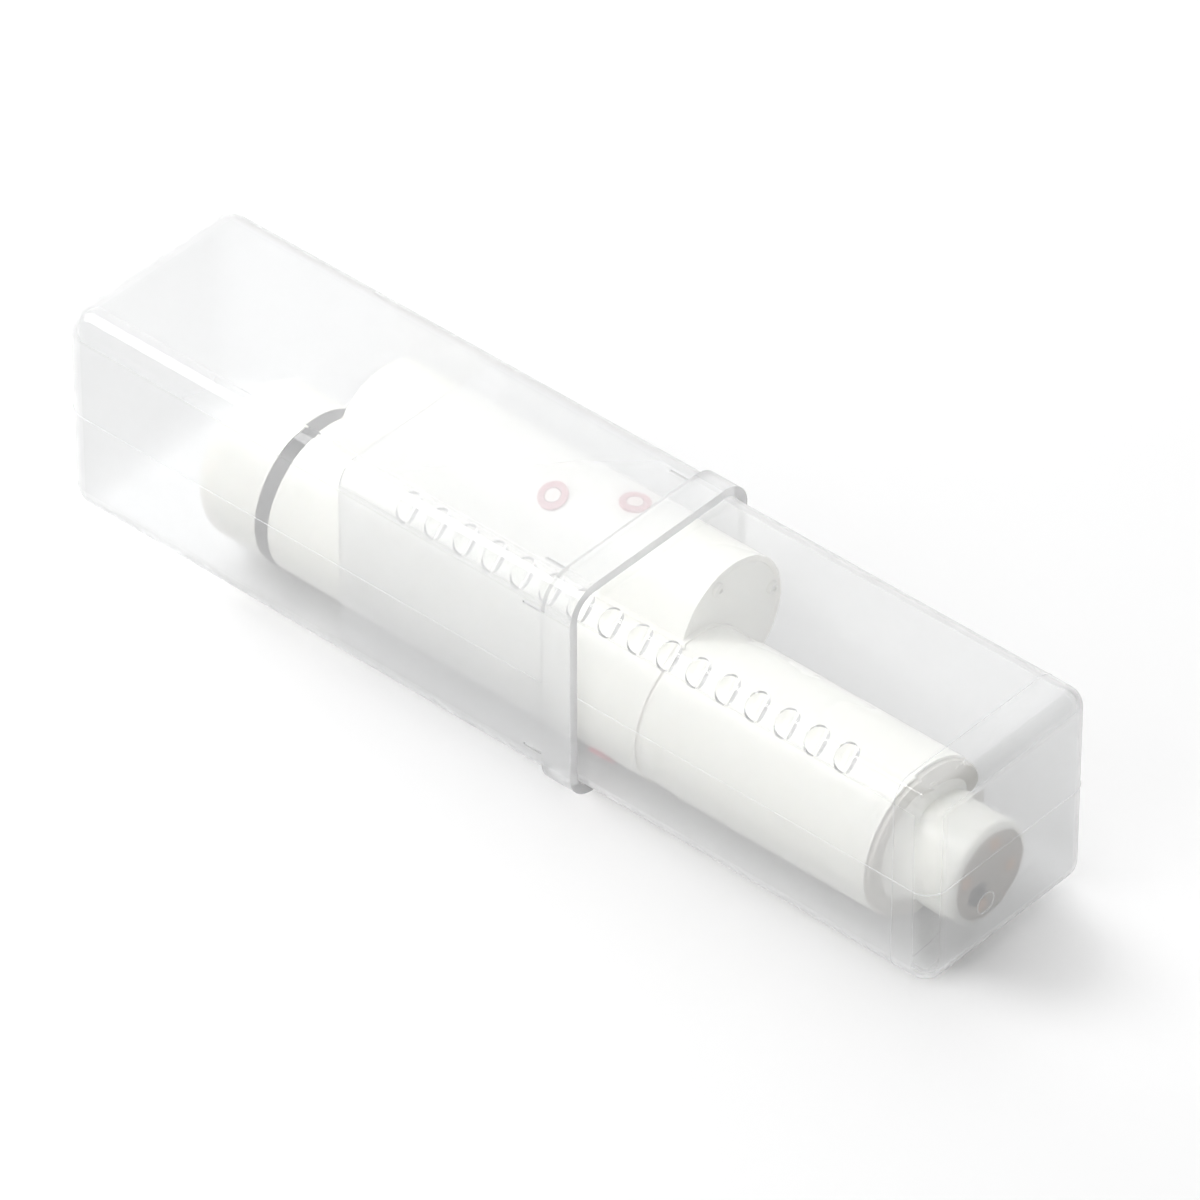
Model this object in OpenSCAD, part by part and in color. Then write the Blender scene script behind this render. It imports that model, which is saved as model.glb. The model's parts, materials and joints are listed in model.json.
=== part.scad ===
// Portable toothbrush sanitizer in a telescoping square travel case.
// The case is a clear sleeve and a clear ratchet tube; the unit lies loose inside the tube.
// +X runs along the case toward the closed end of the ratchet tube, +Z is up.
// The origin is the centre of the underside of the whole object.

/* [Case] */
// Clear width and height inside the ratchet tube
case_inside = 60.6; // [60.4:0.1:64]
// Wall of both clear mouldings
case_wall = 1.3; // [1.1:0.1:1.5]
// Gap between the ratchet tube and the sleeve
slide_gap = 0.3; // [0.3:0.05:0.6]
// Length of the sleeve
sleeve_len = 183.9; // [180:0.1:200]
// Length of the ratchet tube
tube_len = 203.4; // [203:0.1:215]
// Whole length of the case as set
case_len = 303.8; // [303:0.1:312]
// Rounding of the ratchet tube's edges
tube_round = 6.2; // [5.5:0.1:7]
// Length of the thick collar at the sleeve's mouth
collar_len = 10; // [8:0.5:12]
// How far the collar stands proud of the sleeve
collar_lip = 1.6; // [1.2:0.1:2]

/* [Ratchet] */
// Step of the ratchet
notch_step = 10; // [9:0.5:12]
// Number of ratchet notches along one edge
notch_count = 16; // [8:1:16]
// Depth of a notch below the rounded edge
notch_depth = 1.7; // [1.2:0.1:1.8]
// Radius of the scoop that shapes a notch
notch_scoop = 3; // [2.5:0.1:3.5]
// Distance of the first notch from the tube's open end
notch_start = 22.3; // [20:0.1:30]

/* [Unit] */
// Diameter of the sanitizer's round body
unit_d = 45; // [44:0.1:45.4]
// Length of the pull-off end cap
cap_len = 25; // [22:0.5:26]
// Length of the dark trim ring
ring_len = 4.4; // [3:0.1:6]
// Length of the brush tube between the trim ring and the joint collar
brush_len = 130; // [126:0.5:132]
// Length of the joint collar between the two shells
joint_len = 10; // [8:0.5:12]
// Length of the rear shell that holds the battery
rear_len = 68; // [68:0.5:72]
// Length of the charging foot
foot_len = 20.3; // [18:0.1:21]
// Diameter of the charging foot
foot_d = 30; // [28:0.5:34]
// Wall of the unit's shells
shell_wall = 1.8; // [1.6:0.1:2]
// Diameter of the control housing on the unit's back
housing_d = 39.6; // [38:0.1:40]

/* [Buttons] */
// Outer diameter of the red button bezels
bezel_d = 8.6; // [8:0.1:9.5]
// Diameter of the push buttons
button_d = 4.2; // [3.6:0.1:4.6]
// Angle of the power button from straight up toward the front
power_angle = 25; // [20:1:30]
// Angle of the mode button from straight up toward the front
mode_angle = -6; // [-10:1:0]

/* [Hidden] */

$fn = 64;
eps = 0.01;
fixed_gap = 0.1;
move_gap = 0.3;

// Case sizes
tube_size = case_inside + 2 * case_wall;
sleeve_size = tube_size + 2 * slide_gap + 2 * case_wall;
collar_size = sleeve_size + 2 * collar_lip;
case_left = -case_len / 2;
case_right = case_len / 2;
mouth_x = case_left + sleeve_len;
tube_open_x = case_right - tube_len;
mid_z = collar_size / 2;
sleeve_round = tube_round + slide_gap + case_wall;
collar_round = sleeve_round + collar_lip;
slit_w = 0.7;
tongue_len = 7.6;
tongue_reach = 9.5;

// Unit sizes along X, from the charging foot back to the end cap
unit_r = unit_d / 2;
unit_y = -6.8;
unit_z = mid_z - case_inside / 2 + unit_r + move_gap;
foot_end_x = case_right - case_wall - 0.6;
foot_x = foot_end_x - foot_len;
gasket_len = 1.5;
rear_end_x = foot_x - gasket_len;
rear_x = rear_end_x - rear_len;
joint_x = rear_x - joint_len;
brush_x = joint_x - brush_len;
ring_x = brush_x - ring_len;
bore_r = unit_r - shell_wall;

// Neck that the end cap slides over
neck_r = unit_r - 2.2;
neck_bore_r = neck_r - 1.6;
neck_len = 12;
seal_r = 0.65;
seal_x = ring_x - 6;
cap_bore_r = neck_r + 0.6;
cap_edge = 8;
cap_wall = 1.6;

// Control housing: a second, smaller cylinder standing above and behind the brush tube
housing_r = housing_d / 2;
housing_wall = 1.6;
housing_y = unit_y + 16;
housing_z = unit_z + 16;
housing_x = brush_x + 5.6;
housing_len = 123;
housing_end_x = housing_x + housing_len;
plate_t = 2;
lobe_angle = -atan2(housing_y - unit_y, housing_z - unit_z);
boss_r = 2.4;
boss_len = 8;
boss_pos_r = housing_r - housing_wall - boss_r + 0.4;
boss_angles = [20, -80];
screw_r = 1;
screw_head_r = 1.9;
screw_head_t = 1.3;

// Lamp parts, set out from the unit's axis toward the housing
slot_x = housing_x + 12;
slot_len = 94;
slot_w = 10;
window_t = 1.2;
lamp_w = 6;
lamp_t = 1.2;
led_size = 3.4;
led_t = 1;
led_count = 8;
window_lift = bore_r + 0.2;
led_lift = window_lift + window_t + 0.3;
lamp_lift = led_lift + led_t;

// Buttons and the board under them
power_x = -5.6;
mode_x = 13.7;
board_angle = 10;
board_lift = 5;
board_t = 1.2;
board_side = -3.5;
board_w = 18;
board_len = 84;
board_x = -40;
switch_size = 6;
switch_t = 3.2;
switch_lift = 7.4;
plunger_r = 1.7;
plunger_t = 0.8;
button_lift = switch_lift + switch_t + plunger_t + 0.8;
button_top = housing_r + 0.6;
button_flange_r = 3.4;
button_flange_t = 1;
bezel_t = 0.6;
bezel_sink_r = bezel_d / 2 - 0.7;
bezel_bore_r = button_d / 2 + 0.3;

// Battery, a standard round cell 18.4 across and 65 long
cell_r = 9.2;
cell_len = 65;
cell_x = rear_x + 1.2;
contact_t = 0.5;
contact_r = 5;
cradle_t = 5;
rear_wall = 1.2;
cable_hole_r = 3;

// Joint collar
joint_r = unit_r - 0.4;
spigot_len = 6;
spigot_r = bore_r - fixed_gap;
spigot_wall = 1.8;

// Charging foot
foot_r = foot_d / 2;
foot_edge = 2;
foot_flare = 2.4;
foot_flare_len = 3;
foot_wall = 2;
foot_recess = 1.4;
plate_r = foot_r - foot_edge - 0.2;
foot_plate_t = 0.8;
pad_size = 3;
pad_t = 0.4;
pad_pos_r = 9;
socket_y = -4;
socket_z = -4.6;
socket_r = 3.4;
socket_bore_r = 2.7;
socket_len = 9;
pin_r = 0.8;

// Drain plug
plug_x = 34;
plug_angle = 132;
plug_r = 4;
plug_stem_r = 2;
plug_lip = 0.9;

// Turn a shape built along Z so that it runs along +X
module along_x(x, y = unit_y, z = unit_z) {
    translate([x, y, z]) rotate([0, 90, 0]) children();
}

// Round bar along +X on the unit's axis
module bar(x, len, r) {
    along_x(x) cylinder(h = len, r = r);
}

// Round tube along +X on the unit's axis
module pipe(x, len, r, bore) {
    difference() {
        bar(x, len, r);
        bar(x - eps, len + 2 * eps, bore);
    }
}

// Frame whose +Z points from the unit's axis to the control housing's axis
module toward_housing() {
    translate([0, unit_y, unit_z]) rotate([lobe_angle, 0, 0]) children();
}

// Frame on the control housing's axis whose +Z points out at an angle toward the front
module on_housing(x, angle) {
    translate([x, housing_y, housing_z]) rotate([angle, 0, 0]) children();
}

module rounded_square(size, r) {
    flat = size - 2 * r;
    square([flat, size], center = true);
    square([size, flat], center = true);
    for (a = [-1, 1], b = [-1, 1])
        translate([a * flat / 2, b * flat / 2]) circle(r);
}

// Square bar from x = 0 to x = len with a ball-rounded closed end at x = len
module rounded_bar(len, size, r) {
    flat = size - 2 * r;
    rotate([90, 0, 90]) linear_extrude(len - r) rounded_square(size, r);
    translate([len - r - eps, -flat / 2, -flat / 2]) cube([r + eps, flat, flat]);
    translate([len - r, 0, 0]) {
        for (s = [-1, 1]) {
            translate([0, 0, s * flat / 2]) rotate([90, 0, 0])
                cylinder(h = flat, r = r, center = true);
            translate([0, s * flat / 2, 0]) cylinder(h = flat, r = r, center = true);
            for (t = [-1, 1])
                translate([0, s * flat / 2, t * flat / 2]) sphere(r);
        }
    }
}

// Hollow square tube from x = 0, open there, closed and rounded at x = len
module square_shell(len, size, r, wall) {
    difference() {
        rounded_bar(len, size, r);
        translate([-eps, 0, 0])
            rounded_bar(len - wall + eps, size - 2 * wall, r - wall);
    }
}

// A row of scoops across one edge of the ratchet tube
module scoop_row(r) {
    edge_out = (tube_size / 2 - tube_round) * sqrt(2) + tube_round;
    for (i = [0 : notch_count - 1])
        translate([notch_start + i * notch_step, 0, 0]) rotate([45, 0, 0])
            translate([0, 0, edge_out - notch_depth + notch_scoop]) rotate([90, 0, 0])
                cylinder(h = 12, r = r, center = true);
}

// The scoops run along the top front edge and the bottom back edge
module scoops(r) {
    scoop_row(r);
    rotate([180, 0, 0]) scoop_row(r);
}

module inner_tube() {
    color("ghostwhite", 0.35) translate([tube_open_x, 0, mid_z]) difference() {
        union() {
            square_shell(tube_len, tube_size, tube_round, case_wall);
            intersection() {
                rounded_bar(tube_len, tube_size, tube_round);
                scoops(notch_scoop + case_wall);
            }
        }
        scoops(notch_scoop);
    }
}

// U-shaped cut that frees one corner tongue behind the collar
module tongue_cut() {
    half = sleeve_size / 2;
    reach = half - tongue_reach;
    depth = 6;
    translate([-tongue_len, -reach - slit_w, half - depth])
        cube([tongue_len, slit_w, depth + 1]);
    translate([-tongue_len, -half - 1, reach])
        cube([tongue_len, depth + 1, slit_w]);
    difference() {
        translate([-slit_w, -half - 1, reach])
            cube([slit_w, tongue_reach + 1, tongue_reach + 1]);
        translate([-slit_w - eps, -half + depth, reach - eps])
            cube([slit_w + 2 * eps, tongue_reach, tongue_reach - depth + eps]);
    }
}

module outer_sleeve() {
    color("ghostwhite", 0.35) translate([mouth_x, 0, mid_z]) difference() {
        union() {
            mirror([1, 0, 0]) rounded_bar(sleeve_len, sleeve_size, sleeve_round);
            translate([-collar_len, 0, 0]) rotate([90, 0, 90])
                linear_extrude(collar_len) rounded_square(collar_size, collar_round);
        }
        translate([eps, 0, 0]) mirror([1, 0, 0])
            rounded_bar(sleeve_len - case_wall + eps, sleeve_size - 2 * case_wall,
                sleeve_round - case_wall);
        for (turn = [0 : 90 : 270])
            rotate([turn, 0, 0]) translate([-collar_len, 0, 0]) tongue_cut();
    }
}

module brush_tube() {
    color("ivory") difference() {
        union() {
            bar(brush_x, brush_len, unit_r);
            bar(ring_x - neck_len, neck_len + ring_len + 1, neck_r);
        }
        bar(ring_x - neck_len - 1, neck_len + ring_len + 4, neck_bore_r);
        bar(brush_x + 2, brush_len, bore_r);
        along_x(seal_x) rotate_extrude()
            translate([neck_r - seal_r / 2, 0]) circle(seal_r);
        toward_housing() translate([slot_x, -slot_w / 2, bore_r - 4])
            cube([slot_len, slot_w, 8]);
        plug_hole();
    }
}

module plug_hole() {
    translate([plug_x, unit_y, unit_z]) rotate([plug_angle, 0, 0])
        translate([0, 0, bore_r - 3]) cylinder(h = 8, r = plug_stem_r + fixed_gap);
}

module end_cap() {
    skirt = cap_len - cap_edge;
    color("ivory") along_x(ring_x - move_gap) mirror([0, 0, 1]) difference() {
        rotate_extrude() {
            square([unit_r, skirt - move_gap]);
            square([unit_r - cap_edge, cap_len - move_gap]);
            translate([unit_r - cap_edge, skirt - move_gap]) intersection() {
                circle(cap_edge);
                square(cap_edge);
            }
        }
        translate([0, 0, -eps]) cylinder(h = skirt - cap_wall, r = cap_bore_r);
        translate([0, 0, skirt - cap_wall - 1]) cylinder(h = cap_edge, r = unit_r - cap_edge);
    }
}

module trim_ring() {
    color("dimgray") pipe(ring_x, ring_len, unit_r, neck_r);
}

module cap_seal() {
    color("darkslategray") along_x(seal_x) rotate_extrude()
        translate([neck_r - seal_r / 2, 0]) circle(seal_r - 0.02);
}

// Solid outline of the control housing with the brush tube's place cut away
module housing_solid(x, len, r) {
    difference() {
        along_x(x, housing_y, housing_z) cylinder(h = len, r = r);
        bar(x - 1, len + 2, unit_r);
    }
}

module button_sites() {
    on_housing(power_x, power_angle) children();
    on_housing(mode_x, mode_angle) children();
}

module boss_sites() {
    for (a = boss_angles)
        on_housing(0, a) translate([0, 0, boss_pos_r]) rotate([0, 90, 0]) children();
}

module control_housing() {
    color("ivory") difference() {
        union() {
            difference() {
                housing_solid(housing_x, housing_len, housing_r);
                housing_solid(housing_x - 1, housing_len + 2, housing_r - housing_wall);
            }
            boss_sites() {
                translate([0, 0, housing_x + plate_t]) cylinder(h = boss_len, r = boss_r);
                translate([0, 0, housing_end_x - plate_t - boss_len])
                    cylinder(h = boss_len, r = boss_r);
            }
        }
        boss_sites() translate([0, 0, housing_x - 1])
            cylinder(h = housing_len + 2, r = screw_r + fixed_gap);
        button_sites() translate([0, 0, housing_r - 4])
            cylinder(h = 8, r = bezel_sink_r + fixed_gap);
    }
}

module housing_end_plates() {
    inside_r = housing_r - housing_wall - fixed_gap;
    color("ivory") difference() {
        union() {
            housing_solid(housing_x, plate_t - fixed_gap, inside_r);
            housing_solid(housing_end_x - plate_t + fixed_gap, plate_t - fixed_gap, inside_r);
        }
        boss_sites() translate([0, 0, housing_x - 1])
            cylinder(h = housing_len + 2, r = screw_r + fixed_gap);
    }
}

module screw() {
    translate([0, 0, -screw_head_t]) difference() {
        cylinder(h = screw_head_t, r = screw_head_r);
        translate([0, 0, -eps]) cylinder(h = screw_head_t / 2, r = 0.9, $fn = 6);
    }
    cylinder(h = plate_t + boss_len - 2, r = screw_r);
}

module housing_screws() {
    color("silver") boss_sites() {
        translate([0, 0, housing_x]) screw();
        translate([0, 0, housing_end_x]) mirror([0, 0, 1]) screw();
    }
}

module button_bezels() {
    color("crimson") button_sites() difference() {
        union() {
            translate([0, 0, housing_r - 0.25]) cylinder(h = bezel_t + 0.25, r = bezel_d / 2);
            translate([0, 0, housing_r - 2.2]) cylinder(h = 2.2, r = bezel_sink_r);
        }
        translate([0, 0, housing_r - 3]) cylinder(h = 6, r = bezel_bore_r);
        wall_under_flange();
    }
}

// The housing's own wall, taken away under the bezel's flange so the two only touch
module wall_under_flange() {
    difference() {
        rotate([0, 90, 0]) cylinder(h = 2 * bezel_d, r = housing_r, center = true);
        cylinder(h = 2 * housing_r, r = bezel_sink_r);
    }
}

module push_button() {
    translate([0, 0, button_lift]) cylinder(h = button_top - button_lift, r = button_d / 2);
    translate([0, 0, housing_r - 2.8 - button_flange_t])
        cylinder(h = button_flange_t, r = button_flange_r);
}

module power_button() {
    color("mistyrose") on_housing(power_x, power_angle) push_button();
}

module mode_button() {
    color("mistyrose") on_housing(mode_x, mode_angle) push_button();
}

module tact_switches() {
    color("darkslategray") button_sites() {
        translate([-switch_size / 2, -switch_size / 2, switch_lift])
            cube([switch_size, switch_size, switch_t]);
        translate([0, 0, switch_lift + switch_t]) cylinder(h = plunger_t, r = plunger_r);
    }
}

module control_board() {
    color("seagreen") on_housing(board_x, board_angle)
        translate([0, board_side, board_lift]) cube([board_len, board_w, board_t]);
}

module lamp_board() {
    color("seagreen") toward_housing()
        translate([slot_x + 2, -lamp_w / 2, lamp_lift]) cube([slot_len - 4, lamp_w, lamp_t]);
}

module uv_leds() {
    led_step = (slot_len - 14) / (led_count - 1);
    color("plum") toward_housing()
        for (i = [0 : led_count - 1])
            translate([slot_x + 7 + i * led_step - led_size / 2, -led_size / 2, led_lift])
                cube([led_size, led_size, led_t]);
}

module lamp_window() {
    color("lavender", 0.5) toward_housing()
        translate([slot_x + fixed_gap, -slot_w / 2 + fixed_gap, window_lift])
            cube([slot_len - 2 * fixed_gap, slot_w - 2 * fixed_gap, window_t]);
}

module reflector_liner() {
    liner_r = bore_r - fixed_gap;
    liner_len = brush_len - spigot_len - 4;
    color("gainsboro") difference() {
        pipe(brush_x + 2.5, liner_len, liner_r, liner_r - 0.5);
        toward_housing() translate([brush_x, -unit_r, 4]) cube([brush_len, unit_d, unit_r]);
        plug_hole();
    }
}

module brush_rests() {
    rest_t = 4;
    rest_r = bore_r - fixed_gap - 0.5;
    color("whitesmoke") for (x = [brush_x + 24, brush_x + 92])
        difference() {
            bar(x, rest_t, rest_r);
            toward_housing() translate([x - 1, -unit_r, -8]) cube([rest_t + 2, unit_d, unit_d]);
            toward_housing() translate([x - 1, 0, -7]) rotate([0, 90, 0])
                cylinder(h = rest_t + 2, r = 7);
        }
}

module joint_collar() {
    color("linen") difference() {
        union() {
            bar(joint_x, joint_len, joint_r);
            bar(joint_x - spigot_len, joint_len + 2 * spigot_len, spigot_r);
        }
        bar(joint_x - spigot_len - 1, joint_len + 2 * spigot_len + 2, spigot_r - spigot_wall);
    }
}

module bulkhead() {
    color("gainsboro") pipe(joint_x + 3, 2, spigot_r - spigot_wall, cable_hole_r);
}

module rear_shell() {
    color("ivory") difference() {
        bar(rear_x, rear_len, unit_r);
        bar(rear_x - 1, rear_len + 1 - rear_wall, bore_r);
        bar(rear_x, rear_len + 1, cable_hole_r);
    }
}

module battery_cell() {
    color("steelblue") bar(cell_x, cell_len, cell_r);
}

module battery_cradle() {
    color("gainsboro") for (x = [rear_x + spigot_len + 2, rear_end_x - 12])
        pipe(x, cradle_t, bore_r - fixed_gap, cell_r);
}

module battery_contacts() {
    color("gold") {
        bar(cell_x - contact_t, contact_t, contact_r);
        bar(cell_x + cell_len, contact_t, contact_r);
    }
}

module shoulder_gasket() {
    color("dimgray") pipe(rear_end_x, gasket_len, unit_r - 0.8, foot_r - foot_wall);
}

module charging_foot() {
    bore = foot_r - foot_wall;
    color("seashell") along_x(foot_x) difference() {
        union() {
            rotate_extrude() {
                square([foot_r, foot_len - foot_edge]);
                square([foot_r - foot_edge, foot_len]);
                translate([foot_r - foot_edge, foot_len - foot_edge]) circle(foot_edge);
            }
            cylinder(h = foot_flare_len, r1 = foot_r + foot_flare, r2 = foot_r);
        }
        translate([0, 0, -1]) cylinder(h = foot_len - foot_recess - 1, r = bore);
        translate([0, 0, foot_len - foot_recess - 3])
            cylinder(h = foot_recess + 4, r = plate_r + fixed_gap);
    }
}

module foot_plate() {
    plate_x = foot_end_x - foot_recess;
    color("rosybrown") difference() {
        bar(plate_x, foot_plate_t, plate_r);
        along_x(plate_x - 1, unit_y + socket_y, unit_z + socket_z)
            cylinder(h = 4, r = socket_r + fixed_gap);
    }
}

module contact_pads() {
    color("peru") for (a = [75 : 90 : 345])
        translate([foot_end_x - foot_recess + foot_plate_t,
                unit_y + pad_pos_r * cos(a) - pad_size / 2,
                unit_z + pad_pos_r * sin(a) - pad_size / 2])
            cube([pad_t, pad_size, pad_size]);
}

module charging_socket() {
    start_x = foot_end_x - foot_recess + foot_plate_t - socket_len;
    color("midnightblue") along_x(start_x, unit_y + socket_y, unit_z + socket_z) {
        difference() {
            cylinder(h = socket_len, r = socket_r);
            translate([0, 0, 2]) cylinder(h = socket_len, r = socket_bore_r);
        }
        cylinder(h = socket_len - 2, r = pin_r);
    }
}

module drain_plug() {
    color("crimson") translate([plug_x, unit_y, unit_z]) rotate([plug_angle, 0, 0])
        difference() {
            union() {
                translate([0, 0, bore_r - 2]) cylinder(h = shell_wall + 2, r = plug_stem_r);
                difference() {
                    cylinder(h = unit_r + plug_lip, r = plug_r);
                    rotate([0, 90, 0]) cylinder(h = 4 * plug_r, r = unit_r, center = true);
                }
            }
            translate([0, 0, unit_r + plug_lip - 0.5]) cylinder(h = 1, r = plug_stem_r);
        }
}

outer_sleeve();
inner_tube();
brush_tube();
end_cap();
trim_ring();
cap_seal();
control_housing();
housing_end_plates();
housing_screws();
button_bezels();
power_button();
mode_button();
tact_switches();
control_board();
lamp_board();
uv_leds();
lamp_window();
reflector_liner();
brush_rests();
joint_collar();
bulkhead();
rear_shell();
battery_cell();
battery_cradle();
battery_contacts();
shoulder_gasket();
charging_foot();
foot_plate();
contact_pads();
charging_socket();
drain_plug();
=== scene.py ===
"""Toothbrush sanitizer in its clear telescoping case: finishes, small added pieces and the stage."""

import json
import math

import bmesh
import bpy
from mathutils import Matrix, Vector


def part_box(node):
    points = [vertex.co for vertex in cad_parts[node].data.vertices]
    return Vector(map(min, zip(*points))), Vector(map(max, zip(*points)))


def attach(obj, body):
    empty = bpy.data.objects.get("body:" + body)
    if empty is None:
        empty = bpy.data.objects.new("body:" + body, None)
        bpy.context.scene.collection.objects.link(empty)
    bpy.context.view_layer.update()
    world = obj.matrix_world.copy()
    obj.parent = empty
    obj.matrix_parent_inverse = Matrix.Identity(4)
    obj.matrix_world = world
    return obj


bl_info = {
    "name": "Toothbrush sanitizer",
    "version": (1, 0, 0),
    "blender": (4, 5, 0),
    "location": "3D Viewport > Sidebar > Sanitizer",
    "description": "Finishes and small parts for a toothbrush sanitizer in a clear case",
    "category": "Object",
}

MM = 0.001
SEED = 7
MILK_COLOR = (0.82, 0.82, 0.82, 1)
SHADOW_TINT = (0.985, 0.985, 0.985, 1)
BUMP_DEPTH = 0.2 * MM
EDGE_BLEND = 0.3
CLEAR_BUMP = 0.004
ARC_STEPS = 10
RIDGE_SIDES = 8
GATE_STEPS = 36
FLOOR_HALF = 6.0
BOARD_TILT = math.radians(10)
BOARD_PART_WIDTH = 11 * MM
BOARD_LIFT = 0.59 * MM
BOARD_CLEAR_START = 0.05
BOARD_CLEAR_END = 0.33
SMALLEST_PART_SCALE = (0.6, 0.6, 0.6)
LARGEST_PART_SCALE = (2.2, 2.0, 1.5)
GATE_OFFSET = Vector((0, -9.5 * MM, -14.5 * MM))
LINE_START = 1.0 * MM
SIDE_STEPS = 12
DRIFT_DETAIL = 4.0
GRAIN_DETAIL = 2.0
DRIFT_DARKENING = 0.985

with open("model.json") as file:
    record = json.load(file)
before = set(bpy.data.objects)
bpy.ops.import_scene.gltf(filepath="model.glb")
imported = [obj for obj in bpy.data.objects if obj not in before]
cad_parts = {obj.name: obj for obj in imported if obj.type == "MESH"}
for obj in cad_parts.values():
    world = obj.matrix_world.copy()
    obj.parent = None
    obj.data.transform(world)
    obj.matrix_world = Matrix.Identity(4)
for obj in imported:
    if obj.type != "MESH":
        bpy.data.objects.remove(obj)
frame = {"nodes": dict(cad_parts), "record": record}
nodes = frame["nodes"]
slot_of = {part["node"]: part["material_slot"] for part in frame["record"]["subparts"]}


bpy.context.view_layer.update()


class CaseSettings(bpy.types.PropertyGroup):
    """Sizes and tints of the clear case's added pieces."""

    line_r: bpy.props.FloatProperty(
        name="Mould line radius", description="How far a mould line stands proud",
        default=0.16 * MM, unit="LENGTH", subtype="DISTANCE")
    end_line: bpy.props.FloatProperty(
        name="End line distance", description="Distance of the ring line from the closed end",
        default=12.8 * MM, unit="LENGTH", subtype="DISTANCE")
    corner_r: bpy.props.FloatProperty(
        name="Tube rounding", description="Rounding of the ratchet tube's edges",
        default=6.2 * MM, unit="LENGTH", subtype="DISTANCE")
    sleeve_r: bpy.props.FloatProperty(
        name="Sleeve rounding", description="Rounding of the sleeve's edges",
        default=7.8 * MM, unit="LENGTH", subtype="DISTANCE")
    collar_lip: bpy.props.FloatProperty(
        name="Collar lip", description="How far the collar stands proud of the sleeve",
        default=1.6 * MM, unit="LENGTH", subtype="DISTANCE")
    collar_len: bpy.props.FloatProperty(
        name="Collar length", description="Length of the collar along the case",
        default=10 * MM, unit="LENGTH", subtype="DISTANCE")
    gate_d: bpy.props.FloatProperty(
        name="Gate mark diameter", description="Width of the round mark on the closed end",
        default=6.4 * MM, unit="LENGTH", subtype="DISTANCE")
    tint: bpy.props.FloatVectorProperty(
        name="Case tint", description="Colour of the clear plastic",
        default=(0.95, 0.955, 0.96), size=3, subtype="COLOR", min=0, max=1)


class DeviceSettings(bpy.types.PropertyGroup):
    """Tints and counts for the sanitizer unit."""

    shell_tint: bpy.props.FloatVectorProperty(
        name="Shell", description="Colour of the round shells",
        default=(0.9, 0.88, 0.81), size=3, subtype="COLOR", min=0, max=1)
    trim_tint: bpy.props.FloatVectorProperty(
        name="Trim", description="Colour of the trim ring and gasket",
        default=(0.015, 0.015, 0.016), size=3, subtype="COLOR", min=0, max=1)
    red_tint: bpy.props.FloatVectorProperty(
        name="Bezels", description="Colour of the button bezels and drain plug",
        default=(0.5, 0.008, 0.06), size=3, subtype="COLOR", min=0, max=1)
    board_parts: bpy.props.IntProperty(
        name="Board parts", description="How many small parts the control board carries",
        default=16, min=4, max=40)


class StageSettings(bpy.types.PropertyGroup):
    """Floor, lights and camera."""

    azimuth: bpy.props.FloatProperty(
        name="Azimuth", description="Camera's turn about the vertical",
        default=math.radians(41.75), unit="ROTATION", subtype="ANGLE")
    elevation: bpy.props.FloatProperty(
        name="Elevation", description="Camera's height angle",
        default=math.radians(39.71), unit="ROTATION", subtype="ANGLE")
    distance: bpy.props.FloatProperty(
        name="Distance", description="Camera's distance from what it looks at",
        default=2.873, unit="LENGTH", subtype="DISTANCE")
    lens: bpy.props.FloatProperty(
        name="Lens", description="Focal length in millimetres", default=326.3, min=20, max=500)
    target: bpy.props.FloatVectorProperty(
        name="Target", description="Point the camera looks at",
        default=(-0.0037, 0.017, 0.0182), size=3, subtype="XYZ", unit="LENGTH")
    key_power: bpy.props.FloatProperty(
        name="Key light", description="Power of the large soft light in watts",
        default=20.5, min=0, max=500)
    fill_power: bpy.props.FloatProperty(
        name="Fill light", description="Power of the fill light in watts",
        default=9.0, min=0, max=500)
    veil_power: bpy.props.FloatProperty(
        name="Veil light", description="Power of the light mirrored by the case's top, in watts",
        default=15.0, min=0, max=500)
    veil_size: bpy.props.FloatProperty(
        name="Veil size", description="Width of the veil light",
        default=2.4, unit="LENGTH", subtype="DISTANCE")
    veil_distance: bpy.props.FloatProperty(
        name="Veil distance", description="How far the veil light stands from the object",
        default=2.3, unit="LENGTH", subtype="DISTANCE")
    key_place: bpy.props.FloatVectorProperty(
        name="Key place", description="Where the large soft light stands",
        default=(-1.3, -0.5, 1.5), size=3, subtype="XYZ", unit="LENGTH")
    key_size: bpy.props.FloatProperty(
        name="Key size", description="Width of the large soft light",
        default=1.0, unit="LENGTH", subtype="DISTANCE")
    fill_place: bpy.props.FloatVectorProperty(
        name="Fill place", description="Where the fill light stands",
        default=(-0.2, -1.7, 1.2), size=3, subtype="XYZ", unit="LENGTH")
    fill_size: bpy.props.FloatProperty(
        name="Fill size", description="Width of the fill light",
        default=1.6, unit="LENGTH", subtype="DISTANCE")
    world_strength: bpy.props.FloatProperty(
        name="Surround", description="Brightness of the white surround",
        default=0.6, min=0, max=10)


# ---------------------------------------------------------------- node helpers

def add_node(tree, kind, **settings):
    """A new node in the tree with the given settings."""
    node = tree.nodes.new(kind)
    for name, value in settings.items():
        setattr(node, name, value)
    return node


def socket(sockets, identifier):
    for item in sockets:
        if item.identifier == identifier:
            return item
    raise KeyError(identifier)


def new_group(name, kind, inputs, outputs):
    group = bpy.data.node_groups.new(name, kind)
    for label, socket_type, default in inputs:
        item = group.interface.new_socket(label, in_out="INPUT", socket_type=socket_type)
        if default is not None:
            item.default_value = default
    for label, socket_type in outputs:
        group.interface.new_socket(label, in_out="OUTPUT", socket_type=socket_type)
    return group


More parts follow.
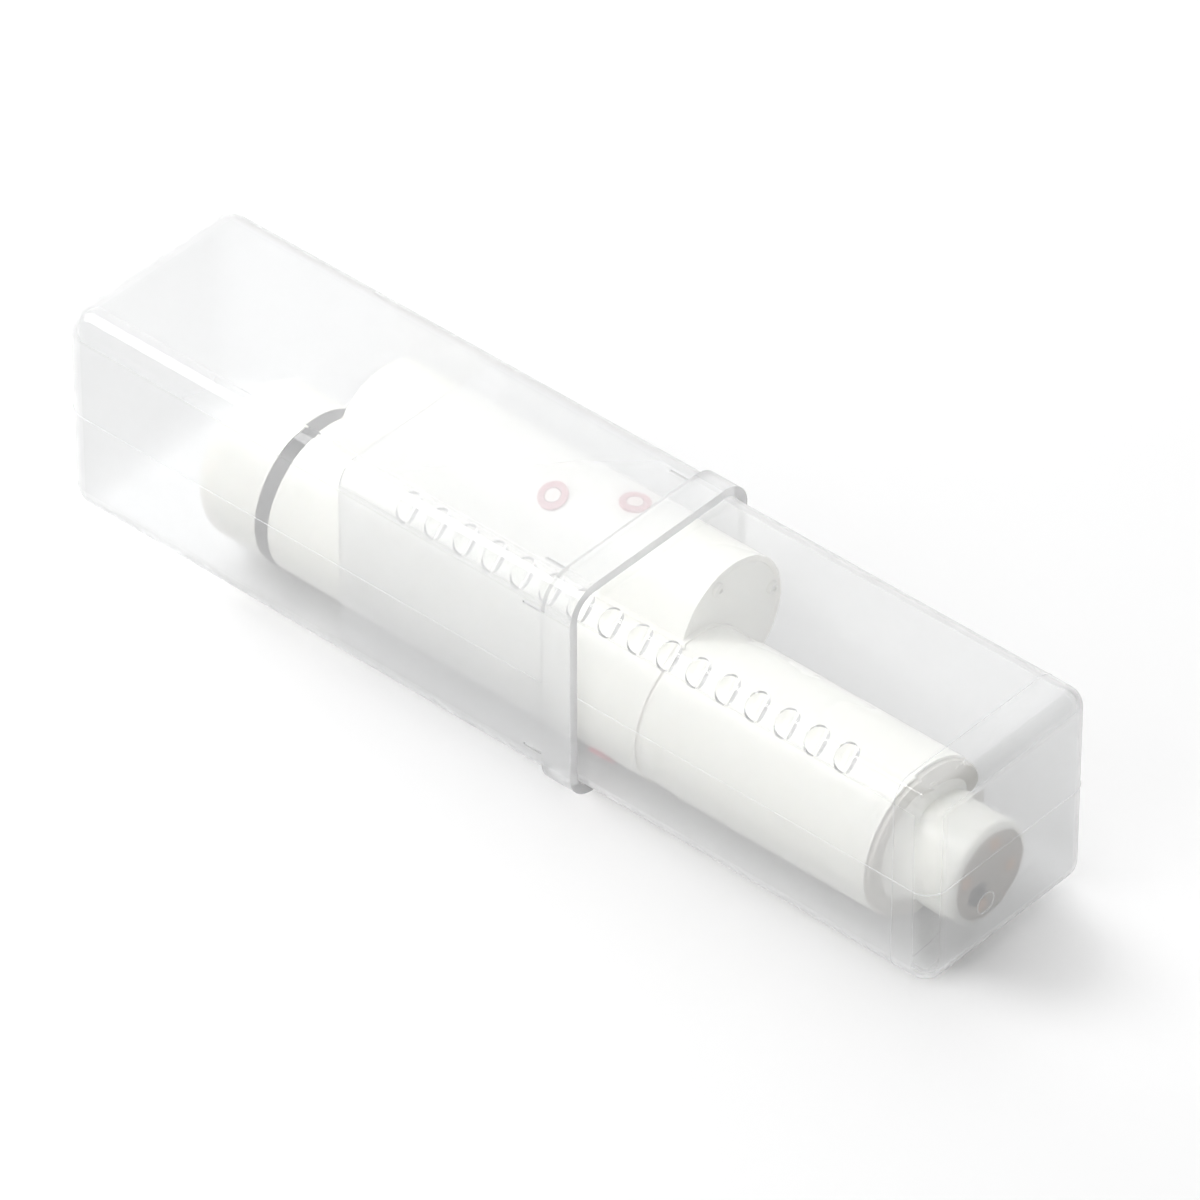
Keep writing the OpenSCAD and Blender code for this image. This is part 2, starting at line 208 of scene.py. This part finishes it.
def moulded_surface_group():
    """Slow colour drift, uneven gloss and a fine grain for moulded parts."""
    group = new_group(
        "Moulded Surface", "ShaderNodeTree",
        [
            ("Vector", "NodeSocketVector", None),
            ("Color", "NodeSocketColor", (0.8, 0.8, 0.8, 1)),
            ("Drift Color", "NodeSocketColor", (0.7, 0.7, 0.7, 1)),
            ("Drift Scale", "NodeSocketFloat", 30.0),
            ("Grain Scale", "NodeSocketFloat", 900.0),
            ("Gloss Low", "NodeSocketFloat", 0.2),
            ("Gloss High", "NodeSocketFloat", 0.35),
        ],
        [
            ("Color", "NodeSocketColor"),
            ("Roughness", "NodeSocketFloat"),
            ("Height", "NodeSocketFloat"),
        ])
    enter = add_node(group, "NodeGroupInput")
    leave = add_node(group, "NodeGroupOutput")
    drift = add_node(group, "ShaderNodeTexNoise")
    grain = add_node(group, "ShaderNodeTexNoise")
    gloss = add_node(group, "ShaderNodeMapRange")
    mix = add_node(group, "ShaderNodeMix", data_type="RGBA")
    drift.inputs["Detail"].default_value = DRIFT_DETAIL
    grain.inputs["Detail"].default_value = GRAIN_DETAIL
    link = group.links.new
    link(enter.outputs["Vector"], drift.inputs["Vector"])
    link(enter.outputs["Vector"], grain.inputs["Vector"])
    link(enter.outputs["Drift Scale"], drift.inputs["Scale"])
    link(enter.outputs["Grain Scale"], grain.inputs["Scale"])
    link(drift.outputs["Fac"], socket(mix.inputs, "Factor_Float"))
    link(enter.outputs["Color"], socket(mix.inputs, "A_Color"))
    link(enter.outputs["Drift Color"], socket(mix.inputs, "B_Color"))
    link(drift.outputs["Fac"], gloss.inputs["Value"])
    link(enter.outputs["Gloss Low"], gloss.inputs["To Min"])
    link(enter.outputs["Gloss High"], gloss.inputs["To Max"])
    link(socket(mix.outputs, "Result_Color"), leave.inputs["Color"])
    link(gloss.outputs["Result"], leave.inputs["Roughness"])
    link(grain.outputs["Fac"], leave.inputs["Height"])
    return group


def start_material(name):
    material = bpy.data.materials.new(name)
    material.use_nodes = True
    tree = material.node_tree
    shader = next(n for n in tree.nodes if n.type == "BSDF_PRINCIPLED")
    coords = add_node(tree, "ShaderNodeTexCoord")
    return material, tree, shader, coords.outputs["Object"]


def moulded(name, color, drift, gloss=(0.2, 0.35), drift_scale=30.0, grain=900.0,
            bump=0.05, metallic=0.0, coat=0.0, subsurface=0.0):
    """A moulded, rubber or metal finish made with the shared surface group."""
    material, tree, shader, vector = start_material(name)
    surface = add_node(tree, "ShaderNodeGroup", node_tree=bpy.data.node_groups["Moulded Surface"])
    surface.inputs["Color"].default_value = (*color, 1)
    surface.inputs["Drift Color"].default_value = (*drift, 1)
    surface.inputs["Drift Scale"].default_value = drift_scale
    surface.inputs["Grain Scale"].default_value = grain
    surface.inputs["Gloss Low"].default_value = gloss[0]
    surface.inputs["Gloss High"].default_value = gloss[1]
    relief = add_node(tree, "ShaderNodeBump")
    relief.inputs["Strength"].default_value = bump
    relief.inputs["Distance"].default_value = BUMP_DEPTH
    link = tree.links.new
    link(vector, surface.inputs["Vector"])
    link(surface.outputs["Color"], shader.inputs["Base Color"])
    link(surface.outputs["Roughness"], shader.inputs["Roughness"])
    link(surface.outputs["Height"], relief.inputs["Height"])
    link(relief.outputs["Normal"], shader.inputs["Normal"])
    shader.inputs["Metallic"].default_value = metallic
    shader.inputs["Coat Weight"].default_value = coat
    shader.inputs["Subsurface Weight"].default_value = subsurface
    return material


def clear_plastic(name, tint, transmission, roughness, ior, haze=(0.0, 0.0)):
    """Clear moulding that lets shadow rays through; haze is its milkiness face on and edge on."""
    material, tree, shader, vector = start_material(name)
    surface = add_node(tree, "ShaderNodeGroup", node_tree=bpy.data.node_groups["Moulded Surface"])
    surface.inputs["Color"].default_value = (*tint, 1)
    surface.inputs["Drift Color"].default_value = (*[DRIFT_DARKENING * c for c in tint], 1)
    surface.inputs["Drift Scale"].default_value = 18.0
    surface.inputs["Grain Scale"].default_value = 260.0
    surface.inputs["Gloss Low"].default_value = roughness[0]
    surface.inputs["Gloss High"].default_value = roughness[1]
    relief = add_node(tree, "ShaderNodeBump")
    relief.inputs["Strength"].default_value = CLEAR_BUMP
    relief.inputs["Distance"].default_value = BUMP_DEPTH / 2
    rays = add_node(tree, "ShaderNodeLightPath")
    through = add_node(tree, "ShaderNodeBsdfTransparent")
    through.inputs["Color"].default_value = SHADOW_TINT
    mix = add_node(tree, "ShaderNodeMixShader")
    milk = add_node(tree, "ShaderNodeBsdfDiffuse")
    milk.inputs["Color"].default_value = MILK_COLOR
    edge = add_node(tree, "ShaderNodeLayerWeight")
    edge.inputs["Blend"].default_value = EDGE_BLEND
    milkiness = add_node(tree, "ShaderNodeMapRange")
    milkiness.inputs["To Min"].default_value = haze[0]
    milkiness.inputs["To Max"].default_value = haze[1]
    body = add_node(tree, "ShaderNodeMixShader")
    out = next(n for n in tree.nodes if n.type == "OUTPUT_MATERIAL")
    link = tree.links.new
    link(vector, surface.inputs["Vector"])
    link(surface.outputs["Color"], shader.inputs["Base Color"])
    link(surface.outputs["Roughness"], shader.inputs["Roughness"])
    link(surface.outputs["Height"], relief.inputs["Height"])
    link(relief.outputs["Normal"], shader.inputs["Normal"])
    link(rays.outputs["Is Shadow Ray"], mix.inputs["Fac"])
    link(edge.outputs["Facing"], milkiness.inputs["Value"])
    link(milkiness.outputs["Result"], body.inputs["Fac"])
    link(shader.outputs["BSDF"], body.inputs[1])
    link(milk.outputs["BSDF"], body.inputs[2])
    link(body.outputs["Shader"], mix.inputs[1])
    link(through.outputs["BSDF"], mix.inputs[2])
    link(mix.outputs["Shader"], out.inputs["Surface"])
    shader.inputs["Transmission Weight"].default_value = transmission
    shader.inputs["IOR"].default_value = ior
    return material


# ------------------------------------------------------------------- materials

def make_clear_case():
    tint = bpy.context.scene.case_settings.tint
    return clear_plastic("clear_case", tint, 0.98, (0.015, 0.035), 1.38, haze=(0.13, 0.7))


def make_ivory_shell():
    tint = bpy.context.scene.device_settings.shell_tint
    return moulded("ivory_shell", tint, [0.97 * c for c in tint], gloss=(0.22, 0.34),
                   bump=0.03, coat=0.25, subsurface=0.05)


def make_dark_trim():
    tint = bpy.context.scene.device_settings.trim_tint
    return moulded("dark_trim", tint, [1.5 * c for c in tint], gloss=(0.4, 0.55),
                   grain=1500.0, bump=0.12)


def make_red_silicone():
    tint = bpy.context.scene.device_settings.red_tint
    return moulded("red_silicone", tint, [0.75 * c for c in tint], gloss=(0.32, 0.45),
                   drift_scale=120.0, bump=0.08)


def make_pale_button():
    return moulded("pale_button", (0.85, 0.72, 0.66), (0.8, 0.66, 0.6), gloss=(0.15, 0.25),
                   drift_scale=150.0)


def make_black_plastic():
    return moulded("black_plastic", (0.012, 0.014, 0.024), (0.02, 0.023, 0.036),
                   gloss=(0.35, 0.5), bump=0.1)


def make_circuit_board():
    return moulded("circuit_board", (0.015, 0.16, 0.07), (0.01, 0.1, 0.045),
                   gloss=(0.25, 0.4), drift_scale=400.0, grain=1800.0)


def make_led_package():
    return moulded("led_package", (0.75, 0.7, 0.9), (0.68, 0.6, 0.85), gloss=(0.1, 0.2),
                   drift_scale=500.0)


def make_lamp_window():
    return clear_plastic("lamp_window", (0.93, 0.93, 1.0), 1.0, (0.01, 0.03), 1.46)


def make_reflector():
    return moulded("reflector", (0.86, 0.86, 0.87), (0.78, 0.78, 0.8), gloss=(0.12, 0.22),
                   metallic=1.0, drift_scale=60.0)


def make_inner_plastic():
    return moulded("inner_plastic", (0.72, 0.72, 0.7), (0.66, 0.66, 0.64), gloss=(0.45, 0.6))


def make_battery_wrap():
    return moulded("battery_wrap", (0.04, 0.12, 0.32), (0.03, 0.09, 0.26), gloss=(0.15, 0.3),
                   coat=0.5)


def make_copper():
    return moulded("copper", (0.78, 0.42, 0.22), (0.68, 0.34, 0.17), gloss=(0.2, 0.35),
                   metallic=1.0, drift_scale=200.0)


def make_foot_plate():
    return moulded("foot_plate", (0.6, 0.54, 0.47), (0.54, 0.48, 0.41), gloss=(0.35, 0.5),
                   bump=0.1)


# Painted shade: the gasket's grey stands in for the shade that falls on the shoulder annulus, not
# for a colour of its own.
def make_gasket_painted_shade():
    return moulded("grey_gasket", (0.62, 0.6, 0.55), (0.55, 0.53, 0.48), gloss=(0.45, 0.6),
                   drift_scale=90.0, bump=0.1)


def make_painted_screw():
    return moulded("painted_screw", (0.76, 0.75, 0.7), (0.7, 0.69, 0.64), gloss=(0.25, 0.4),
                   drift_scale=300.0, bump=0.1)


MATERIAL_MAKERS = {
    "clear_case": make_clear_case,
    "ivory_shell": make_ivory_shell,
    "dark_trim": make_dark_trim,
    "red_silicone": make_red_silicone,
    "pale_button": make_pale_button,
    "black_plastic": make_black_plastic,
    "circuit_board": make_circuit_board,
    "led_package": make_led_package,
    "lamp_window": make_lamp_window,
    "reflector": make_reflector,
    "inner_plastic": make_inner_plastic,
    "battery_wrap": make_battery_wrap,
    "copper": make_copper,
    "foot_plate": make_foot_plate,
    "grey_gasket": make_gasket_painted_shade,
    "painted_screw": make_painted_screw,
}


# ----------------------------------------------------------------- mesh helpers

def finish_piece(name, mesh, material, body):
    """Put a finished mesh in the scene, smooth it and let it ride on its body."""
    for polygon in mesh.polygons:
        polygon.use_smooth = True
    mesh.materials.clear()
    mesh.materials.append(bpy.data.materials[material])
    piece = bpy.data.objects.new(name, mesh)
    bpy.context.scene.collection.objects.link(piece)
    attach(piece, body)
    return piece


def tube_along(points, radius, closed, sides=RIDGE_SIDES):
    """A thin round ridge that follows the points."""
    mesh_builder = bmesh.new()
    count = len(points)
    rings = []
    for i, point in enumerate(points):
        before = points[i - 1] if closed or i else point
        after = points[(i + 1) % count] if closed or i < count - 1 else point
        turn = (after - before).to_track_quat("Z", "Y").to_matrix()
        ring = []
        for k in range(sides):
            angle = 2 * math.pi * k / sides
            offset = Vector((math.cos(angle), math.sin(angle), 0)) * radius
            ring.append(mesh_builder.verts.new(point + turn @ offset))
        rings.append(ring)
    last = count if closed else count - 1
    for i in range(last):
        here, there = rings[i], rings[(i + 1) % count]
        shift = nearest_shift(here, there)
        for k in range(sides):
            mesh_builder.faces.new((
                here[k], here[(k + 1) % sides],
                there[(k + 1 + shift) % sides], there[(k + shift) % sides]))
    if not closed:
        mesh_builder.faces.new(rings[0])
        mesh_builder.faces.new(rings[-1])
    bmesh.ops.recalc_face_normals(mesh_builder, faces=mesh_builder.faces)
    mesh = bpy.data.meshes.new("ridge")
    mesh_builder.to_mesh(mesh)
    mesh_builder.free()
    return mesh


def nearest_shift(here, there):
    """How far to turn the second ring so that its first corner meets the first ring's."""
    gaps = [(there[k].co - here[0].co).length for k in range(len(there))]
    return gaps.index(min(gaps))


def arc(center, start, end, radius, steps=ARC_STEPS):
    """Points of an arc in a plane, as pairs."""
    angles = [start + (end - start) * i / steps for i in range(steps + 1)]
    return [(center[0] + radius * math.cos(a), center[1] + radius * math.sin(a)) for a in angles]


def rounded_loop(half, radius):
    """A closed rounded square of the given half width, as pairs."""
    points = []
    flat = half - radius
    for turn, (sx, sy) in enumerate([(1, 1), (-1, 1), (-1, -1), (1, -1)]):
        start = turn * math.pi / 2
        points += arc((sx * flat, sy * flat), start, start + math.pi / 2, radius)
    return points


def half_outline(open_x, end_x, half, radius, height):
    """The level line along one side, round the closed end and back along the other side."""
    way = 1 if end_x > open_x else -1
    turn_x = end_x - way * radius
    points = [Vector((open_x, -half, height))]
    steps = SIDE_STEPS
    for i in range(1, steps):
        points.append(Vector((open_x + (turn_x - open_x) * i / steps, -half, height)))
    for y_sign in (-1, 1):
        for i in range(steps + 1):
            angle = math.pi / 2 * i / steps
            if y_sign < 0:
                x, y = math.sin(angle), -math.cos(angle)
            else:
                x, y = math.cos(angle), math.sin(angle)
            points.append(Vector((
                turn_x + way * radius * x, y_sign * (half - radius) + radius * y, height)))
    for i in range(1, steps + 1):
        points.append(Vector((turn_x + (open_x - turn_x) * i / steps, half, height)))
    return points


# ------------------------------------------------------------------- operators

class SANITIZER_OT_materials(bpy.types.Operator):
    """Make the finishes and put them on the carried-over parts"""

    bl_idname = "sanitizer.materials"
    bl_label = "Finish the parts"

    def execute(self, context):
        moulded_surface_group()
        made = {slot: make() for slot, make in MATERIAL_MAKERS.items()}
        for name, part in nodes.items():
            part.data.materials.clear()
            part.data.materials.append(made[slot_of[name]])
        return {"FINISHED"}


class SANITIZER_OT_mould_lines(bpy.types.Operator):
    """Add the thin mould lines of the two clear mouldings"""

    bl_idname = "sanitizer.mould_lines"
    bl_label = "Mould lines"

    def execute(self, context):
        case = context.scene.case_settings
        sleeve_low, sleeve_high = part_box("outer_sleeve")
        tube_low, tube_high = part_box("inner_tube")
        middle = (sleeve_low.z + sleeve_high.z) / 2
        sleeve_half = (sleeve_high.y - sleeve_low.y) / 2 - case.collar_lip
        sleeve_line = half_outline(
            sleeve_high.x - case.collar_len, sleeve_low.x, sleeve_half, case.sleeve_r, middle)
        tube_half = (tube_high.y - tube_low.y) / 2
        tube_line = half_outline(tube_low.x + LINE_START, tube_high.x, tube_half,
                                 case.corner_r, middle)
        ring_x = tube_high.x - case.end_line
        ring = [Vector((ring_x, y, middle + z)) for y, z in
                rounded_loop(tube_half, case.corner_r)]
        finish_piece("sleeve_mould_line", tube_along(sleeve_line, case.line_r, False),
                     "clear_case", "sleeve")
        finish_piece("tube_mould_line", tube_along(tube_line, case.line_r, False),
                     "clear_case", "ratchet_tube")
        finish_piece("tube_end_line", tube_along(ring, case.line_r, True),
                     "clear_case", "ratchet_tube")
        return {"FINISHED"}


class SANITIZER_OT_gate_mark(bpy.types.Operator):
    """Add the plain round gate mark on the ratchet tube's closed end"""

    bl_idname = "sanitizer.gate_mark"
    bl_label = "Gate mark"

    def execute(self, context):
        case = context.scene.case_settings
        low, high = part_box("inner_tube")
        center = Vector((high.x, (low.y + high.y) / 2, (low.z + high.z) / 2))
        points = []
        for i in range(GATE_STEPS):
            angle = 2 * math.pi * i / GATE_STEPS
            spoke = Vector((0, math.cos(angle), math.sin(angle)))
            points.append(center + GATE_OFFSET + case.gate_d / 2 * spoke)
        finish_piece("tube_gate_mark", tube_along(points, 1.5 * case.line_r, True),
                     "clear_case", "ratchet_tube")
        return {"FINISHED"}


def scatter_on_points_group(name):
    """Boxes of random size at random places in an area, made real and given a material."""
    group = new_group(
        name, "GeometryNodeTree",
        [
            ("Geometry", "NodeSocketGeometry", None),
            ("Count", "NodeSocketInt", 8),
            ("Area", "NodeSocketVector", (0.05, 0.01, 0)),
            ("Part Size", "NodeSocketVector", (0.002, 0.0012, 0.0006)),
            ("Seed", "NodeSocketInt", SEED),
            ("Material", "NodeSocketMaterial", None),
        ],
        [("Geometry", "NodeSocketGeometry")])
    enter = add_node(group, "NodeGroupInput")
    leave = add_node(group, "NodeGroupOutput")
    line = add_node(group, "GeometryNodeMeshLine", mode="OFFSET")
    place = add_node(group, "FunctionNodeRandomValue", data_type="FLOAT_VECTOR")
    scale = add_node(group, "FunctionNodeRandomValue", data_type="FLOAT_VECTOR")
    spread = add_node(group, "ShaderNodeVectorMath", operation="MULTIPLY")
    put = add_node(group, "GeometryNodeSetPosition")
    part = add_node(group, "GeometryNodeMeshCube")
    size = add_node(group, "ShaderNodeVectorMath", operation="MULTIPLY")
    seat = add_node(group, "GeometryNodeTransform")
    copies = add_node(group, "GeometryNodeInstanceOnPoints")
    real = add_node(group, "GeometryNodeRealizeInstances")
    paint = add_node(group, "GeometryNodeSetMaterial")
    socket(place.inputs, "Min").default_value = (-0.5, -0.5, 0)
    socket(place.inputs, "Max").default_value = (0.5, 0.5, 0)
    socket(scale.inputs, "Min").default_value = SMALLEST_PART_SCALE
    socket(scale.inputs, "Max").default_value = LARGEST_PART_SCALE
    link = group.links.new
    link(enter.outputs["Count"], line.inputs["Count"])
    link(enter.outputs["Seed"], place.inputs["Seed"])
    link(enter.outputs["Seed"], scale.inputs["Seed"])
    link(socket(place.outputs, "Value"), spread.inputs[0])
    link(enter.outputs["Area"], spread.inputs[1])
    link(line.outputs["Mesh"], put.inputs["Geometry"])
    link(spread.outputs["Vector"], put.inputs["Position"])
    link(enter.outputs["Part Size"], part.inputs["Size"])
    link(put.outputs["Geometry"], copies.inputs["Points"])
    size.inputs[1].default_value = (0, 0, 0.5)
    link(enter.outputs["Part Size"], size.inputs[0])
    link(part.outputs["Mesh"], seat.inputs["Geometry"])
    link(size.outputs["Vector"], seat.inputs["Translation"])
    link(seat.outputs["Geometry"], copies.inputs["Instance"])
    link(socket(scale.outputs, "Value"), copies.inputs["Scale"])
    link(copies.outputs["Instances"], real.inputs["Geometry"])
    link(real.outputs["Geometry"], paint.inputs["Geometry"])
    link(enter.outputs["Material"], paint.inputs["Material"])
    link(paint.outputs["Geometry"], leave.inputs["Geometry"])
    return group


def mesh_from_group(group, values):
    """Run a node group on an empty mesh and hand back the plain mesh it makes."""
    holder = bpy.data.objects.new("holder", bpy.data.meshes.new("holder"))
    bpy.context.scene.collection.objects.link(holder)
    modifier = holder.modifiers.new("build", "NODES")
    modifier.node_group = group
    for item in group.interface.items_tree:
        if item.in_out == "INPUT" and item.name in values:
            modifier[item.identifier] = values[item.name]
    holder.update_tag()
    bpy.context.view_layer.update()
    depsgraph = bpy.context.evaluated_depsgraph_get()
    mesh = bpy.data.meshes.new_from_object(holder.evaluated_get(depsgraph))
    bpy.data.objects.remove(holder)
    return mesh


class SANITIZER_OT_board_parts(bpy.types.Operator):
    """Scatter small parts on the control board"""

    bl_idname = "sanitizer.board_parts"
    bl_label = "Board parts"

    def execute(self, context):
        unit = context.scene.device_settings
        low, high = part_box("control_board")
        length = high.x - low.x
        group = scatter_on_points_group("Board Parts")
        mesh = mesh_from_group(group, {
            "Count": unit.board_parts,
            "Area": ((BOARD_CLEAR_END - BOARD_CLEAR_START) * length, BOARD_PART_WIDTH, 0),
            "Material": bpy.data.materials["black_plastic"],
        })
        middle = (low + high) / 2
        middle.x = low.x + (BOARD_CLEAR_START + BOARD_CLEAR_END) / 2 * length
        up = Vector((0, -math.sin(BOARD_TILT), math.cos(BOARD_TILT)))
        turn = Matrix.Rotation(BOARD_TILT, 4, "X")
        place = Matrix.Translation(middle + BOARD_LIFT * up) @ turn
        mesh.transform(place)
        finish_piece("board_parts", mesh, "black_plastic", "unit")
        return {"FINISHED"}


class SANITIZER_OT_stage(bpy.types.Operator):
    """Set up the floor, the lights and the camera"""

    bl_idname = "sanitizer.stage"
    bl_label = "Stage"

    def execute(self, context):
        stage = context.scene.stage_settings
        make_floor()
        make_world(stage.world_strength)
        make_light("key_light", stage.key_place, stage.key_size, stage.key_power)
        make_light("fill_light", stage.fill_place, stage.fill_size, stage.fill_power)
        make_light("veil_light", mirrored_place(stage), stage.veil_size, stage.veil_power)
        context.scene.view_settings.view_transform = "Standard"
        make_camera(stage)
        return {"FINISHED"}


def make_floor():
    builder = bmesh.new()
    half = FLOOR_HALF
    corners = [(-half, -half), (half, -half), (half, half), (-half, half)]
    builder.faces.new([builder.verts.new((x, y, 0)) for x, y in corners])
    mesh = bpy.data.meshes.new("floor")
    builder.to_mesh(mesh)
    builder.free()
    mesh.materials.append(moulded("floor", (0.9, 0.9, 0.9), (0.88, 0.88, 0.88),
                                  gloss=(0.7, 0.8), drift_scale=3.0, bump=0.0))
    floor = bpy.data.objects.new("floor", mesh)
    bpy.context.scene.collection.objects.link(floor)


def make_world(strength):
    world = bpy.data.worlds.new("surround")
    world.use_nodes = True
    background = next(n for n in world.node_tree.nodes if n.type == "BACKGROUND")
    background.inputs["Color"].default_value = (1, 1, 1, 1)
    background.inputs["Strength"].default_value = strength
    bpy.context.scene.world = world


def make_light(name, place, size, power):
    data = bpy.data.lights.new(name, "AREA")
    data.size = size
    data.energy = power
    light = bpy.data.objects.new(name, data)
    light.location = place
    aim = Vector((0, 0, 0)) - Vector(place)
    light.rotation_euler = aim.to_track_quat("-Z", "Y").to_euler()
    bpy.context.scene.collection.objects.link(light)


def mirrored_place(stage):
    """Where a light must stand for level faces to mirror it into the camera."""
    az, el = stage.azimuth, stage.elevation
    away = Vector((-math.sin(az) * math.cos(el), math.cos(az) * math.cos(el), math.sin(el)))
    return away * stage.veil_distance


def make_camera(stage):
    az, el = stage.azimuth, stage.elevation
    back = Vector((math.sin(az) * math.cos(el), -math.cos(az) * math.cos(el), math.sin(el)))
    data = bpy.data.cameras.new("camera")
    data.lens = stage.lens
    data.clip_end = 20
    camera = bpy.data.objects.new("camera", data)
    camera.location = Vector(stage.target) + back * stage.distance
    camera.rotation_euler = (math.pi / 2 - el, 0, az)
    bpy.context.scene.collection.objects.link(camera)
    bpy.context.scene.camera = camera


class SANITIZER_PT_panel(bpy.types.Panel):
    """Settings and build steps"""

    bl_label = "Sanitizer"
    bl_idname = "SANITIZER_PT_panel"
    bl_space_type = "VIEW_3D"
    bl_region_type = "UI"
    bl_category = "Sanitizer"

    def draw(self, context):
        for name in ("case_settings", "device_settings", "stage_settings"):
            group = getattr(context.scene, name)
            column = self.layout.column(heading=name)
            for prop in group.bl_rna.properties:
                if prop.identifier not in ("rna_type", "name"):
                    column.prop(group, prop.identifier)
        for operator in OPERATORS:
            self.layout.operator(operator.bl_idname)


OPERATORS = (
    SANITIZER_OT_materials,
    SANITIZER_OT_mould_lines,
    SANITIZER_OT_gate_mark,
    SANITIZER_OT_board_parts,
    SANITIZER_OT_stage,
)
CLASSES = (CaseSettings, DeviceSettings, StageSettings, *OPERATORS, SANITIZER_PT_panel)


def register():
    for cls in CLASSES:
        bpy.utils.register_class(cls)
    scene_type = bpy.types.Scene
    scene_type.case_settings = bpy.props.PointerProperty(type=CaseSettings)
    scene_type.device_settings = bpy.props.PointerProperty(type=DeviceSettings)
    scene_type.stage_settings = bpy.props.PointerProperty(type=StageSettings)


def unregister():
    for name in ("case_settings", "device_settings", "stage_settings"):
        delattr(bpy.types.Scene, name)
    for cls in reversed(CLASSES):
        bpy.utils.unregister_class(cls)


def main():
    register()
    bpy.ops.sanitizer.materials()
    bpy.ops.sanitizer.mould_lines()
    bpy.ops.sanitizer.gate_mark()
    bpy.ops.sanitizer.board_parts()
    bpy.ops.sanitizer.stage()


if __name__ == "__main__":
    main()
